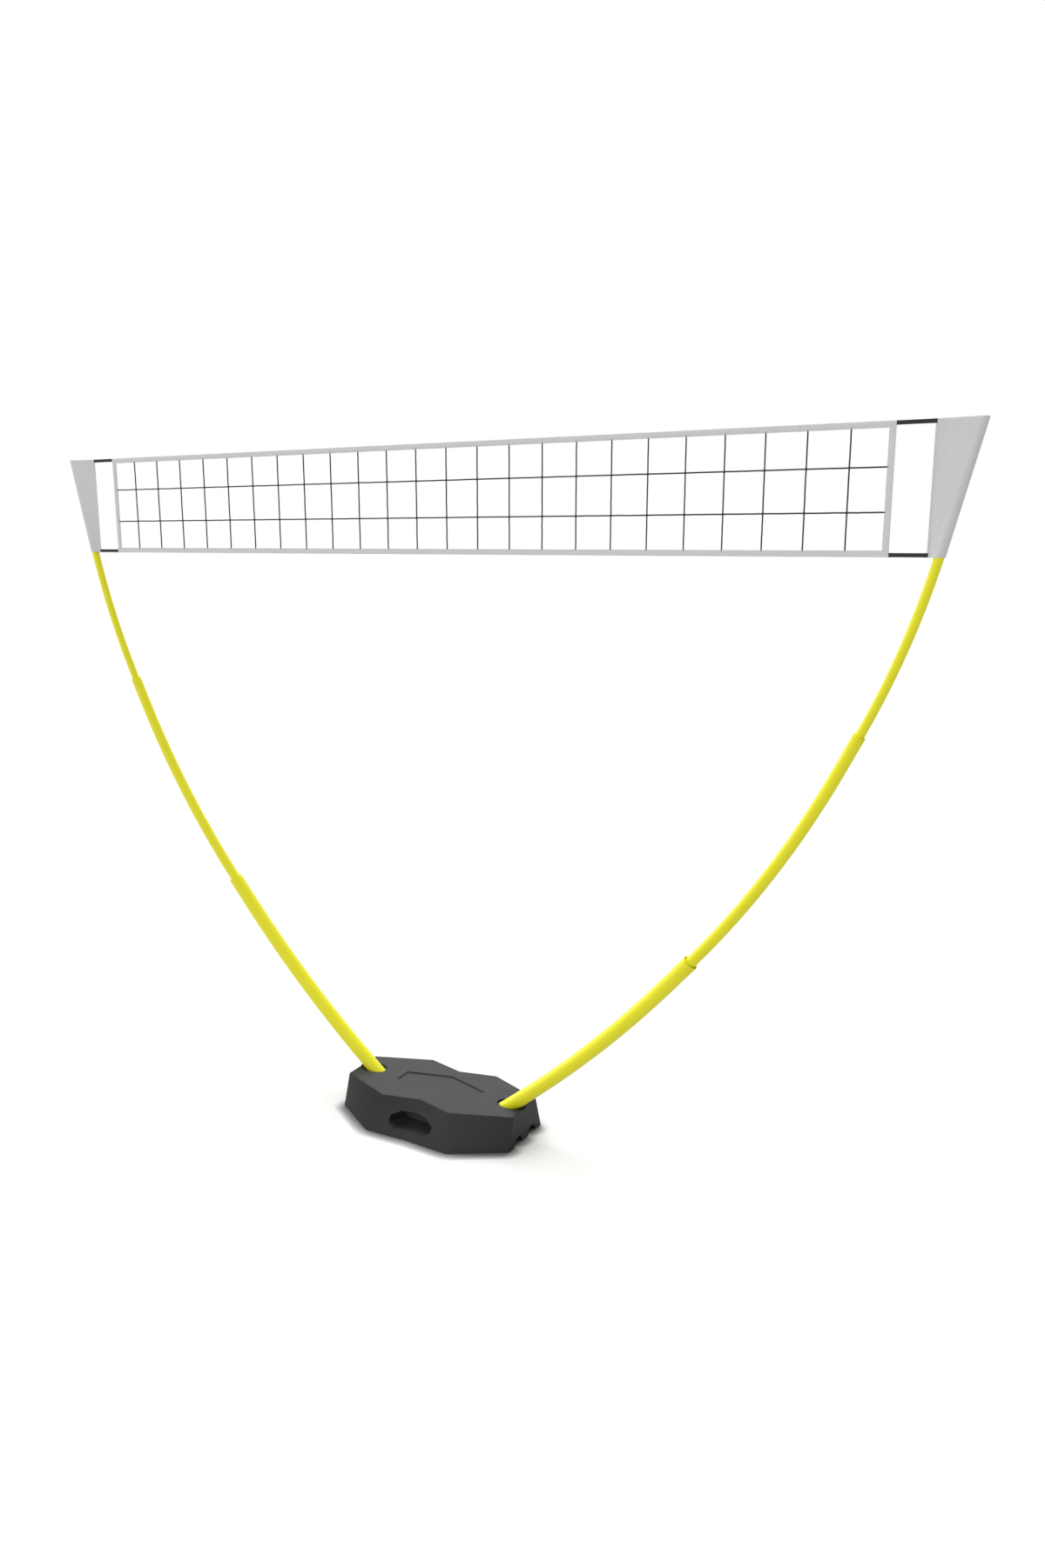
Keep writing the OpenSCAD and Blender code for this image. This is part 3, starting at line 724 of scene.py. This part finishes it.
def seam(bm, start, end, out, pitch=4.5 * MM, radius=0.33 * MM):
    """A straight row of stitches, made by copying the row that is there and moving the copy on."""
    way = end - start
    count = max(1, int(way.length / pitch))
    step = way / count
    row = stitch(pitch * 0.72, radius)
    frame3 = Matrix((way.normalized(), out.cross(way.normalized()), out)).transposed().to_4x4()
    bmesh.ops.transform(row, matrix=Matrix.Translation(start + step / 2) @ frame3, verts=row.verts)
    sizes, made = (len(row.verts), len(row.edges), len(row.faces)), 1
    while made < count:
        more = min(made, count - made)
        first = [x for kind, size in zip((row.verts, row.edges, row.faces), sizes)
                 for x in list(kind)[:size * more]]
        copy = bmesh.ops.duplicate(row, geom=first)["geom"]
        bmesh.ops.translate(row, verts=of_kind(copy, bmesh.types.BMVert), vec=step * made)
        made += more
    add_part(bm, row)


# %% Tape bands
SEAM_IN = 2.6 * MM


def cloth_uv(bm, across, up):
    """Lengths in the cloth, kept with each corner."""
    layer = bm.verts.layers.float_vector.get("cloth") or bm.verts.layers.float_vector.new("cloth")
    for v in bm.verts:
        v[layer] = Vector((v.co.dot(across), v.co.dot(up), 0))


def band(name, node, inward, along, thick, slices):
    """inward points from the fold to the netting, along runs the length of the tape."""
    low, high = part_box(node)
    centre, size = (low + high) / 2, high - low
    bm = bmesh.new()
    bmesh.ops.create_cube(bm, size=1, matrix=Matrix.Translation(centre)
                          @ Matrix.Diagonal((size.x, thick, size.z, 1)))
    width = abs(size.dot(inward))
    fold = centre - inward * width / 2
    seam_at = width / MM - SEAM_IN / MM
    for depth in (0.8, 2.4, 5.0, 8.2, seam_at - 0.9, seam_at, width / MM - 1.2):
        bmesh.ops.bisect_plane(bm, geom=[*bm.verts, *bm.edges, *bm.faces], dist=1e-7,
                               plane_co=fold + inward * depth * MM, plane_no=inward)
    length = abs(size.dot(along))
    for i in range(1, slices):
        bmesh.ops.bisect_plane(bm, geom=[*bm.verts, *bm.edges, *bm.faces], dist=1e-7,
                               plane_co=centre + along * length * (i / slices - 0.5), plane_no=along)
    for v in bm.verts:
        depth = (v.co - fold).dot(inward) / MM
        if depth < 0.1:
            swell = 0.62
        elif depth > seam_at - 0.5:
            swell = 0.66 if abs(depth - seam_at) < 0.2 else 0.78
        else:
            swell = 0.9 if depth < 1.2 else 1.0
        swell *= 1 + 0.05 * noise.noise(v.co * 45)
        v.co.y = v.co.y * swell
        v.co += inward * 0.25 * MM * noise.noise(v.co * 17 + Vector((3, 1, 4)))
    cloth_uv(bm, inward, along)
    for out in (-1, 1):
        row = fold + inward * (width - SEAM_IN) + Vector((0, out * thick * 0.33, 0))
        half = along * (length / 2 - 4 * MM)
        seam(bm, row - half, row + half, Vector((0, out, 0)))
    return hand_over(bm, name, [net_tape, sewing_thread], "net", [node], sharp=50)


band("tape_top", "band_top", -UP, ALONG, 4.2 * MM, 180)
band("tape_bottom", "band_bottom", UP, ALONG, 4.2 * MM, 180)
band("tape_left", "band_left", ALONG, UP, 4.1 * MM, 24)
band("tape_right", "band_right", -ALONG, UP, 4.1 * MM, 24)

# %% [markdown]
# Four short woven elastics hold the net between its sleeves. Elastic is ribbed along its length and
# grows narrower in the middle when it is pulled. The ends are sewn in between the layers of cloth.

# %% Elastic straps
def elastic(name, node, tuck):
    low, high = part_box(node)
    centre, size = (low + high) / 2, high - low
    bm = bmesh.new()
    length, ribs, cuts = size.x + 2 * tuck, 7, 24
    bmesh.ops.create_cube(bm, size=1, matrix=Matrix.Translation(centre)
                          @ Matrix.Diagonal((length, size.y, size.z, 1)))
    for i in range(1, 2 * ribs):
        bmesh.ops.bisect_plane(bm, geom=[*bm.verts, *bm.edges, *bm.faces], dist=1e-8,
                               plane_co=centre + UP * size.z * (i / (2 * ribs) - 0.5), plane_no=UP)
    for i in range(1, cuts):
        bmesh.ops.bisect_plane(bm, geom=[*bm.verts, *bm.edges, *bm.faces], dist=1e-8,
                               plane_co=centre + ALONG * length * (i / cuts - 0.5), plane_no=ALONG)
    for v in bm.verts:
        level = round((v.co.z - centre.z) / size.z * 2 * ribs)
        v.co.y *= (0.80 if (level + ribs) % 2 == 0 else 1.0) * (0.75 if abs(level) == ribs else 1.0)
        along = (v.co.x - centre.x) / (size.x / 2)
        v.co.z = centre.z + (v.co.z - centre.z) * (0.95 + 0.05 * min(1, abs(along)) ** 4)
    cloth_uv(bm, ALONG, UP)
    return hand_over(bm, name, [strap_elastic], "net", [node], sharp=60)


for level in ("top", "bottom"):
    for word in SIDES:
        elastic(f"elastic_{level}_{word}", f"strap_{level}_{word}", 3 * MM)

# %% [markdown]
# ## Sleeves
# A sleeve is two plies of cloth, sewn together along the inner edge and open at the bottom. The pole
# stretches them into a wedge with a round pocket on its outer side. Each row of the cloth is one ring
# round the pole that is pulled out to the seam, so the ring is pushed up row by row.

# %% Sections of a sleeve
tip_point, tip_slope = mouths[2]
SEAM_W, PLY, CLOTH, SEAM_GAP = 7 * MM, 0.8 * MM, 13.05 * MM, 0.9 * MM
ROLL, FLAT, HEM, CLOTH_ROWS = 20, 9, 3, 46
SEW_IN, SEW_END = 3.5 * MM, 5 * MM


def pole_x(z):
    return tip_point.x + (z - tip_point.z) / math.tan(math.radians(tip_slope))


def section(z, inner_x, cloth):
    """Points round the sleeve at one height, from the seam over the back, the roll and the front."""
    flat_r = cloth / math.sin(math.radians(tip_slope))
    reach = pole_x(z) - (inner_x + SEAM_W)
    touch = math.acos(min(1.0, flat_r / reach))
    tangent = Vector((-math.cos(touch) * flat_r, math.sin(touch) * cloth))
    half = []
    for i in range(HEM):
        half.append(Vector((inner_x + SEAM_W * i / HEM - pole_x(z), SEAM_GAP)))
    for i in range(FLAT):
        share = i / FLAT
        half.append(Vector((-reach, SEAM_GAP)).lerp(tangent, share))
    for i in range(ROLL + 1):
        angle = math.pi - touch - (math.pi - touch) * i / ROLL
        half.append(Vector((flat_r * math.cos(angle), cloth * math.sin(angle))))
    front = [Vector((p.x, -p.y)) for p in reversed(half[:-1])]
    return [Vector((p.x + pole_x(z), p.y, z)) for p in [*half, *front]]


# %% Sleeve cloth
def crease(p, inner_x, low, high):
    """Faint folds that fan out from the two corners where the straps pull."""
    push_out = 0.0
    for corner_z in (low, high):
        away = math.hypot(p.x - inner_x, p.z - corner_z)
        angle = math.atan2(abs(p.z - corner_z), p.x - inner_x + 1e-6)
        fade = math.exp(-((away - 0.05) / 0.05) ** 2)
        push_out += 0.45 * MM * math.sin(angle * 9) * fade
    return push_out + 0.35 * MM * noise.noise(Vector((p.x * 18, p.y * 9, p.z * 11)))


def sleeve(word, side, body):
    low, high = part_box(f"sleeve_{word}")
    bottom, top = low.z, high.z
    inner_x = min(abs(low.x), abs(high.x))
    bm = bmesh.new()
    cloth_layer = bm.verts.layers.float_vector.new("cloth")
    index = bm.verts.layers.int.new("index")
    ring = bmesh.ops.create_circle(bm, segments=len(section(top, inner_x, CLOTH)), radius=0.01)["verts"]
    edges = edges_at(ring)
    for i, v in enumerate(ring):
        v[index] = i
    verts = ring
    for row in range(CLOTH_ROWS + 1):
        z = bottom + (top - bottom) * row / CLOTH_ROWS
        if row:
            verts, edges = push(bm, edges, lambda vs: None)
        points = section(z, inner_x, CLOTH)
        lengths = [0.0]
        for a, b in zip(points, points[1:]):
            lengths.append(lengths[-1] + (b - a).length)
        for v in verts:
            p = points[v[index]]
            out = Vector((0, 1 if p.y > 0 else -1, 0))
            if p.x < pole_x(z) - 2 * MM and p.x > inner_x + SEAM_W:
                rest = (p.x - inner_x - SEAM_W) / (pole_x(z) - inner_x - SEAM_W)
                fade = min(1.0, 4 * rest) * min(1.0, 3 * (1 - rest))
                p = p + out * crease(p, inner_x, bottom, top) * fade
            v.co = p
            v[cloth_layer] = Vector((lengths[v[index]], z, 0))
    cap = bmesh.ops.contextual_create(bm, geom=edges)["faces"]
    rim = list(dict.fromkeys(e for f in cap for e in f.edges))
    bmesh.ops.recalc_face_normals(bm, faces=bm.faces)
    bmesh.ops.bevel(bm, geom=rim, offset=0.8 * MM, offset_type="OFFSET", segments=2, profile=0.5,
                    affect="EDGES", material=-1)
    bmesh.ops.recalc_face_normals(bm, faces=bm.faces)
    bmesh.ops.solidify(bm, geom=bm.faces[:], thickness=PLY)
    for out in (-1, 1):
        seam(bm, Vector((inner_x + SEW_IN, out * SEAM_GAP, bottom + SEW_END)),
             Vector((inner_x + SEW_IN, out * SEAM_GAP, top - SEW_END)), Vector((0, out, 0)))
    if side < 0:
        bmesh.ops.scale(bm, verts=bm.verts, vec=(-1, 1, 1))
        bmesh.ops.reverse_faces(bm, faces=bm.faces)
    piece = hand_over(bm, f"cloth_sleeve_{word}", [sleeve_cloth, sewing_thread], body,
                      [f"sleeve_{word}"], sharp=50)
    return piece


sleeve("left", -1, "sleeve_left")
sleeve("right", 1, "net")

# %% [markdown]
# ## Stage and light
# The object stands on a plain pale floor under soft light from the upper left. The camera sees the
# floor and the world as white, while the light that they send to the object is kept lower, so the
# sides of the base stay darker than its top. Ambient occlusion deepens the shade where the base meets
# the floor. Its normal leans to the back, so the shade is strongest on the near side.

# %% Floor
bm = bmesh.new()
bmesh.ops.create_grid(bm, x_segments=1, y_segments=1, size=60)
floor_mesh = bpy.data.meshes.new("floor")
bm.to_mesh(floor_mesh)
bm.free()
floor = bpy.data.objects.new("floor", floor_mesh)
bpy.context.scene.collection.objects.link(floor)


def seen(f):
    """1 for rays that show the stage itself, 0 for rays that carry its light to the object."""
    path = f.node("ShaderNodeLightPath")
    outs = path.socket.node.outputs
    rays = [Value(f, outs[n]) for n in ("Is Camera Ray", "Is Glossy Ray", "Is Transmission Ray")]
    return rays[0].highest(rays[1]).highest(rays[2])


FLOOR_BOUNCE, FLOOR_SEEN, FLOOR_DARK = 0.40, 0.80, 0.10
SHADE_REACH, SHADE_POWER, SHADE_LEAN = 38 * MM, 3.6, {"X": -0.22, "Y": 0.87, "Z": 0.44}
floor_finish = Finish("floor")


def matt(level):
    return floor_finish.node("ShaderNodeBsdfDiffuse", {}, {"Color": level})


tilted = floor_finish.node("ShaderNodeCombineXYZ", {}, SHADE_LEAN)
corner = floor_finish.node("ShaderNodeAmbientOcclusion", {"samples": 12},
                           {"Distance": SHADE_REACH, "Normal": tilted}, out="AO")
shown = floor_finish.blend(corner ** SHADE_POWER, grey(FLOOR_DARK), grey(FLOOR_SEEN))
mixed = floor_finish.node("ShaderNodeMixShader", {},
                          {0: seen(floor_finish), 1: matt(grey(FLOOR_BOUNCE)), 2: matt(shown)})
out_node = floor_finish.tree.nodes["Material Output"]
floor_finish.tree.links.new(mixed.socket, out_node.inputs["Surface"])
floor_mesh.materials.append(floor_finish.material)

# %% World and lamps
WORLD_LIGHT = 0.50
world = bpy.data.worlds.new("studio")
bpy.context.scene.world = world
world.use_nodes = True


class Sky(Finish):
    def __init__(self, tree):
        self.tree = tree


sky = Sky(world.node_tree)
strength = sky.node("ShaderNodeMix", {"data_type": "FLOAT"}, {0: seen(sky), 2: WORLD_LIGHT, 3: 1.0})
background = world.node_tree.nodes["Background"]
background.inputs["Color"].default_value = (1, 1, 1, 1)
world.node_tree.links.new(strength.socket, background.inputs["Strength"])


def sun(name, share, toward, width):
    """A distant lamp that adds this share of a white card's brightness when it faces the lamp."""
    data = bpy.data.lights.new(name, "SUN")
    data.energy = share * math.pi
    data.angle = math.radians(width)
    lamp = bpy.data.objects.new(name, data)
    lamp.rotation_euler = Vector(toward).to_track_quat("Z", "Y").to_euler()
    bpy.context.scene.collection.objects.link(lamp)


sun("key", 0.93, (-0.30, 0.45, 0.85), 60)
sun("side", 0.25, (-1.0, -0.15, 0.30), 60)
sun("front", 0.27, (-0.20, -1.0, 0.10), 70)
bpy.context.scene.view_settings.view_transform = "Standard"
